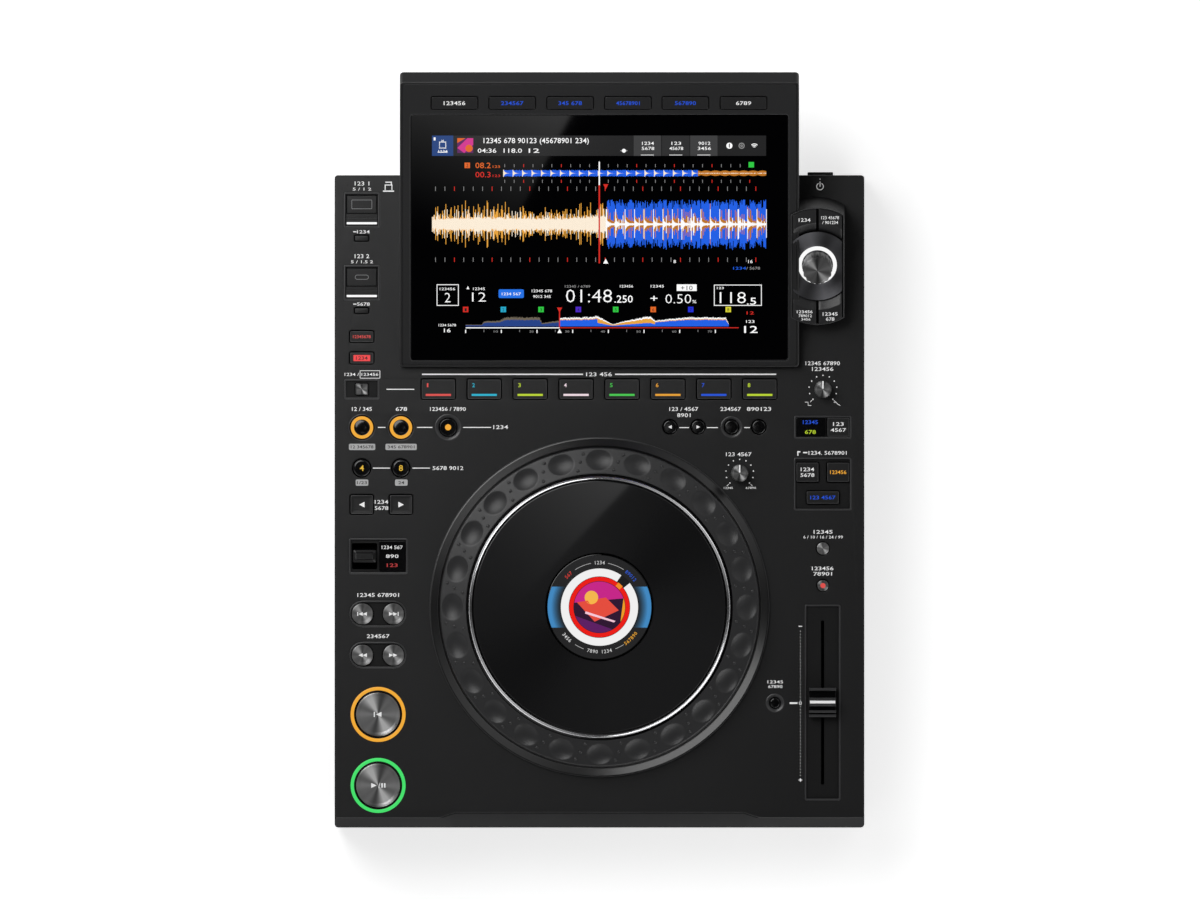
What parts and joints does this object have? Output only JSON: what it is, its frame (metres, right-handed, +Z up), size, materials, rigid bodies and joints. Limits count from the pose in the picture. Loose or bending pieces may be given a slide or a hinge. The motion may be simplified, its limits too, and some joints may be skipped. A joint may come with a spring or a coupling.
{
  "type": "tabletop dj cd player",
  "caption": "Tabletop dj deck player with a jog wheel, tilted touch display, lit pads, transport keys and a long tempo fader.",
  "frame": {"origin": "on the ground at the middle of the footprint, display overhang included", "axes": "+X to the tempo fader side, +Y to the rear, +Z up"},
  "size_m": [0.329, 0.4692, 0.118],
  "materials": {
    "case_shell": "fine-grained dark moulding",
    "deck_panel": "satin near-black panel",
    "display_shell": "satin dark grey moulding",
    "display_glass": "polished black cover over a lit screen",
    "jog_display": "polished black cover over a lit round screen",
    "jog_wheel": "satin grip ring and finely grooved platter",
    "fader_cap": "satin with a white line",
    "metal_keys": "spun dark metal face",
    "pads": "lit translucent rubber",
    "plastic_keys": "satin dark key"
  },
  "bodies": {
    "chassis": {"lower_case": "case_shell", "top_panel": "deck_panel", "display_housing": "display_shell", "display_glass": "display_glass", "jog_display": "jog_display"},
    "back_key": {"back_key": "plastic_keys"},
    "tag_key": {"tag_key": "plastic_keys"},
    "filter_key": {"filter_key": "plastic_keys"},
    "shortcut_key": {"shortcut_key": "plastic_keys"},
    "selector_shaft": {"selector_shaft": "metal_keys"},
    "selector_knob": {"selector_knob": "metal_keys"},
    "source_key": {"source_key": "plastic_keys"},
    "browse_key": {"browse_key": "plastic_keys"},
    "list_key": {"list_key": "plastic_keys"},
    "playlist_key": {"playlist_key": "plastic_keys"},
    "search_text_key": {"search_text_key": "plastic_keys"},
    "menu_key": {"menu_key": "plastic_keys"},
    "jog_wheel": {"jog_wheel": "jog_wheel"},
    "tempo_fader": {"tempo_fader": "fader_cap"},
    "direction_lever": {"direction_lever": "plastic_keys"},
    "jog_feel_knob": {"jog_feel_knob": "plastic_keys"},
    "stop_speed_knob": {"stop_speed_knob": "plastic_keys"},
    "stick_flap_1": {"stick_flap_1": "plastic_keys"},
    "stick_flap_2": {"stick_flap_2": "plastic_keys"},
    "quantize_key": {"quantize_key": "plastic_keys"},
    "slip_key": {"slip_key": "plastic_keys"},
    "bank_key": {"bank_key": "metal_keys"},
    "loop_in_key": {"loop_in_key": "plastic_keys"},
    "loop_out_key": {"loop_out_key": "plastic_keys"},
    "loop_exit_key": {"loop_exit_key": "plastic_keys"},
    "beat_four_key": {"beat_four_key": "plastic_keys"},
    "beat_eight_key": {"beat_eight_key": "plastic_keys"},
    "beat_jump_back_key": {"beat_jump_back_key": "plastic_keys"},
    "beat_jump_ahead_key": {"beat_jump_ahead_key": "plastic_keys"},
    "track_back_key": {"track_back_key": "metal_keys"},
    "track_ahead_key": {"track_ahead_key": "metal_keys"},
    "search_back_key": {"search_back_key": "metal_keys"},
    "search_ahead_key": {"search_ahead_key": "metal_keys"},
    "cue_button": {"cue_button": "metal_keys"},
    "play_button": {"play_button": "metal_keys"},
    "call_back_key": {"call_back_key": "metal_keys"},
    "call_ahead_key": {"call_ahead_key": "metal_keys"},
    "delete_key": {"delete_key": "metal_keys"},
    "memory_key": {"memory_key": "metal_keys"},
    "jog_mode_key": {"jog_mode_key": "plastic_keys"},
    "beat_sync_key": {"beat_sync_key": "plastic_keys"},
    "master_key": {"master_key": "plastic_keys"},
    "key_sync_key": {"key_sync_key": "plastic_keys"},
    "tempo_range_key": {"tempo_range_key": "metal_keys"},
    "master_tempo_key": {"master_tempo_key": "metal_keys"},
    "tempo_reset_key": {"tempo_reset_key": "metal_keys"},
    "pad_1": {"pad_1": "pads"},
    "pad_2": {"pad_2": "pads"},
    "pad_3": {"pad_3": "pads"},
    "pad_4": {"pad_4": "pads"},
    "pad_5": {"pad_5": "pads"},
    "pad_6": {"pad_6": "pads"},
    "pad_7": {"pad_7": "pads"},
    "pad_8": {"pad_8": "pads"},
    "power_button": {"power_button": "plastic_keys"}
  },
  "joints": [
    {"name": "jog_spin", "type": "hinge", "parent": "chassis", "child": "jog_wheel", "pos_m": [0, -0.09769, 0.062], "axis": [0, 0, 1], "continuous": true},
    {"name": "tempo_slide", "type": "slide", "parent": "chassis", "child": "tempo_fader", "axis": [0, -1, 0], "range_m": [-0.0475, 0.0475]},
    {"name": "selector_press", "type": "slide", "parent": "chassis", "child": "selector_shaft", "axis": [0, 0.2769, -0.9609], "range_m": [0, 0.0008], "stiffness_N_per_m": 400, "springref_m": -0.001},
    {"name": "selector_turn", "type": "hinge", "parent": "selector_shaft", "child": "selector_knob", "pos_m": [0.1354, 0.11417, 0.08505], "axis": [0, -0.2769, 0.9609], "continuous": true},
    {"name": "direction_tilt", "type": "hinge", "parent": "chassis", "child": "direction_lever", "pos_m": [-0.14591, -0.06606, 0.053], "axis": [1, 0, 0], "range_deg": [-12, 12]},
    {"name": "stick_flap_1_swing", "type": "hinge", "parent": "chassis", "child": "stick_flap_1", "pos_m": [-0.14759, 0.15707, 0.0599], "axis": [1, 0, 0], "range_deg": [0, 78], "stiffness_Nm_per_rad": 0.002, "springref_deg": -17.19},
    {"name": "stick_flap_2_swing", "type": "hinge", "parent": "chassis", "child": "stick_flap_2", "pos_m": [-0.14759, 0.11184, 0.0599], "axis": [1, 0, 0], "range_deg": [0, 78], "stiffness_Nm_per_rad": 0.002, "springref_deg": -17.19},
    {"name": "jog_feel_turn", "type": "hinge", "parent": "chassis", "child": "jog_feel_knob", "pos_m": [0.08709, -0.0145, 0.062], "axis": [0, 0, 1], "range_deg": [-150, 150]},
    {"name": "stop_speed_turn", "type": "hinge", "parent": "chassis", "child": "stop_speed_knob", "pos_m": [0.13881, 0.03758, 0.062], "axis": [0, 0, 1], "range_deg": [-150, 150]},
    {"name": "play_button_press", "type": "slide", "parent": "chassis", "child": "play_button", "axis": [0, 0, -1], "range_m": [0, 0.001], "stiffness_N_per_m": 400, "springref_m": -0.001},
    {"name": "cue_button_press", "type": "slide", "parent": "chassis", "child": "cue_button", "axis": [0, 0, -1], "range_m": [0, 0.001], "stiffness_N_per_m": 400, "springref_m": -0.001},
    {"name": "power_press", "type": "slide", "parent": "chassis", "child": "power_button", "axis": [0, -1, 0], "range_m": [0, 0.0012], "stiffness_N_per_m": 300, "springref_m": -0.001},
    {"name": "back_key_press", "type": "slide", "parent": "chassis", "child": "back_key", "axis": [0, 0.2769, -0.9609], "range_m": [0, 0.0008], "stiffness_N_per_m": 300, "springref_m": -0.001},
    {"name": "tag_key_press", "type": "slide", "parent": "chassis", "child": "tag_key", "axis": [0, 0.2769, -0.9609], "range_m": [0, 0.0008], "stiffness_N_per_m": 300, "springref_m": -0.001},
    {"name": "filter_key_press", "type": "slide", "parent": "chassis", "child": "filter_key", "axis": [0, 0.2769, -0.9609], "range_m": [0, 0.0008], "stiffness_N_per_m": 300, "springref_m": -0.001},
    {"name": "shortcut_key_press", "type": "slide", "parent": "chassis", "child": "shortcut_key", "axis": [0, 0.2769, -0.9609], "range_m": [0, 0.0008], "stiffness_N_per_m": 300, "springref_m": -0.001},
    {"name": "source_key_press", "type": "slide", "parent": "chassis", "child": "source_key", "axis": [0, 0.2769, -0.9609], "range_m": [0, 0.0008], "stiffness_N_per_m": 300, "springref_m": -0.001},
    {"name": "browse_key_press", "type": "slide", "parent": "chassis", "child": "browse_key", "axis": [0, 0.2769, -0.9609], "range_m": [0, 0.0008], "stiffness_N_per_m": 300, "springref_m": -0.001},
    {"name": "list_key_press", "type": "slide", "parent": "chassis", "child": "list_key", "axis": [0, 0.2769, -0.9609], "range_m": [0, 0.0008], "stiffness_N_per_m": 300, "springref_m": -0.001},
    {"name": "playlist_key_press", "type": "slide", "parent": "chassis", "child": "playlist_key", "axis": [0, 0.2769, -0.9609], "range_m": [0, 0.0008], "stiffness_N_per_m": 300, "springref_m": -0.001},
    {"name": "search_text_key_press", "type": "slide", "parent": "chassis", "child": "search_text_key", "axis": [0, 0.2769, -0.9609], "range_m": [0, 0.0008], "stiffness_N_per_m": 300, "springref_m": -0.001},
    {"name": "menu_key_press", "type": "slide", "parent": "chassis", "child": "menu_key", "axis": [0, 0.2769, -0.9609], "range_m": [0, 0.0008], "stiffness_N_per_m": 300, "springref_m": -0.001},
    {"name": "quantize_key_press", "type": "slide", "parent": "chassis", "child": "quantize_key", "axis": [0, 0, -1], "range_m": [0, 0.001], "stiffness_N_per_m": 300, "springref_m": -0.001},
    {"name": "slip_key_press", "type": "slide", "parent": "chassis", "child": "slip_key", "axis": [0, 0, -1], "range_m": [0, 0.001], "stiffness_N_per_m": 300, "springref_m": -0.001},
    {"name": "bank_key_press", "type": "slide", "parent": "chassis", "child": "bank_key", "axis": [0, 0, -1], "range_m": [0, 0.001], "stiffness_N_per_m": 300, "springref_m": -0.001},
    {"name": "loop_in_key_press", "type": "slide", "parent": "chassis", "child": "loop_in_key", "axis": [0, 0, -1], "range_m": [0, 0.001], "stiffness_N_per_m": 300, "springref_m": -0.001},
    {"name": "loop_out_key_press", "type": "slide", "parent": "chassis", "child": "loop_out_key", "axis": [0, 0, -1], "range_m": [0, 0.001], "stiffness_N_per_m": 300, "springref_m": -0.001},
    {"name": "loop_exit_key_press", "type": "slide", "parent": "chassis", "child": "loop_exit_key", "axis": [0, 0, -1], "range_m": [0, 0.001], "stiffness_N_per_m": 300, "springref_m": -0.001},
    {"name": "beat_four_key_press", "type": "slide", "parent": "chassis", "child": "beat_four_key", "axis": [0, 0, -1], "range_m": [0, 0.001], "stiffness_N_per_m": 300, "springref_m": -0.001},
    {"name": "beat_eight_key_press", "type": "slide", "parent": "chassis", "child": "beat_eight_key", "axis": [0, 0, -1], "range_m": [0, 0.001], "stiffness_N_per_m": 300, "springref_m": -0.001},
    {"name": "beat_jump_back_key_press", "type": "slide", "parent": "chassis", "child": "beat_jump_back_key", "axis": [0, 0, -1], "range_m": [0, 0.001], "stiffness_N_per_m": 300, "springref_m": -0.001},
    {"name": "beat_jump_ahead_key_press", "type": "slide", "parent": "chassis", "child": "beat_jump_ahead_key", "axis": [0, 0, -1], "range_m": [0, 0.001], "stiffness_N_per_m": 300, "springref_m": -0.001},
    {"name": "track_back_key_press", "type": "slide", "parent": "chassis", "child": "track_back_key", "axis": [0, 0, -1], "range_m": [0, 0.001], "stiffness_N_per_m": 300, "springref_m": -0.001},
    {"name": "track_ahead_key_press", "type": "slide", "parent": "chassis", "child": "track_ahead_key", "axis": [0, 0, -1], "range_m": [0, 0.001], "stiffness_N_per_m": 300, "springref_m": -0.001},
    {"name": "search_back_key_press", "type": "slide", "parent": "chassis", "child": "search_back_key", "axis": [0, 0, -1], "range_m": [0, 0.001], "stiffness_N_per_m": 300, "springref_m": -0.001},
    {"name": "search_ahead_key_press", "type": "slide", "parent": "chassis", "child": "search_ahead_key", "axis": [0, 0, -1], "range_m": [0, 0.001], "stiffness_N_per_m": 300, "springref_m": -0.001},
    {"name": "call_back_key_press", "type": "slide", "parent": "chassis", "child": "call_back_key", "axis": [0, 0, -1], "range_m": [0, 0.001], "stiffness_N_per_m": 300, "springref_m": -0.001},
    {"name": "call_ahead_key_press", "type": "slide", "parent": "chassis", "child": "call_ahead_key", "axis": [0, 0, -1], "range_m": [0, 0.001], "stiffness_N_per_m": 300, "springref_m": -0.001},
    {"name": "delete_key_press", "type": "slide", "parent": "chassis", "child": "delete_key", "axis": [0, 0, -1], "range_m": [0, 0.001], "stiffness_N_per_m": 300, "springref_m": -0.001},
    {"name": "memory_key_press", "type": "slide", "parent": "chassis", "child": "memory_key", "axis": [0, 0, -1], "range_m": [0, 0.001], "stiffness_N_per_m": 300, "springref_m": -0.001},
    {"name": "jog_mode_key_press", "type": "slide", "parent": "chassis", "child": "jog_mode_key", "axis": [0, 0, -1], "range_m": [0, 0.001], "stiffness_N_per_m": 300, "springref_m": -0.001},
    {"name": "beat_sync_key_press", "type": "slide", "parent": "chassis", "child": "beat_sync_key", "axis": [0, 0, -1], "range_m": [0, 0.001], "stiffness_N_per_m": 300, "springref_m": -0.001},
    {"name": "master_key_press", "type": "slide", "parent": "chassis", "child": "master_key", "axis": [0, 0, -1], "range_m": [0, 0.001], "stiffness_N_per_m": 300, "springref_m": -0.001},
    {"name": "key_sync_key_press", "type": "slide", "parent": "chassis", "child": "key_sync_key", "axis": [0, 0, -1], "range_m": [0, 0.001], "stiffness_N_per_m": 300, "springref_m": -0.001},
    {"name": "tempo_range_key_press", "type": "slide", "parent": "chassis", "child": "tempo_range_key", "axis": [0, 0, -1], "range_m": [0, 0.001], "stiffness_N_per_m": 300, "springref_m": -0.001},
    {"name": "master_tempo_key_press", "type": "slide", "parent": "chassis", "child": "master_tempo_key", "axis": [0, 0, -1], "range_m": [0, 0.001], "stiffness_N_per_m": 300, "springref_m": -0.001},
    {"name": "tempo_reset_key_press", "type": "slide", "parent": "chassis", "child": "tempo_reset_key", "axis": [0, 0, -1], "range_m": [0, 0.001], "stiffness_N_per_m": 300, "springref_m": -0.001},
    {"name": "pad_1_press", "type": "slide", "parent": "chassis", "child": "pad_1", "axis": [0, 0, -1], "range_m": [0, 0.001], "stiffness_N_per_m": 300, "springref_m": -0.001},
    {"name": "pad_2_press", "type": "slide", "parent": "chassis", "child": "pad_2", "axis": [0, 0, -1], "range_m": [0, 0.001], "stiffness_N_per_m": 300, "springref_m": -0.001},
    {"name": "pad_3_press", "type": "slide", "parent": "chassis", "child": "pad_3", "axis": [0, 0, -1], "range_m": [0, 0.001], "stiffness_N_per_m": 300, "springref_m": -0.001},
    {"name": "pad_4_press", "type": "slide", "parent": "chassis", "child": "pad_4", "axis": [0, 0, -1], "range_m": [0, 0.001], "stiffness_N_per_m": 300, "springref_m": -0.001},
    {"name": "pad_5_press", "type": "slide", "parent": "chassis", "child": "pad_5", "axis": [0, 0, -1], "range_m": [0, 0.001], "stiffness_N_per_m": 300, "springref_m": -0.001},
    {"name": "pad_6_press", "type": "slide", "parent": "chassis", "child": "pad_6", "axis": [0, 0, -1], "range_m": [0, 0.001], "stiffness_N_per_m": 300, "springref_m": -0.001},
    {"name": "pad_7_press", "type": "slide", "parent": "chassis", "child": "pad_7", "axis": [0, 0, -1], "range_m": [0, 0.001], "stiffness_N_per_m": 300, "springref_m": -0.001},
    {"name": "pad_8_press", "type": "slide", "parent": "chassis", "child": "pad_8", "axis": [0, 0, -1], "range_m": [0, 0.001], "stiffness_N_per_m": 300, "springref_m": -0.001}
  ]
}
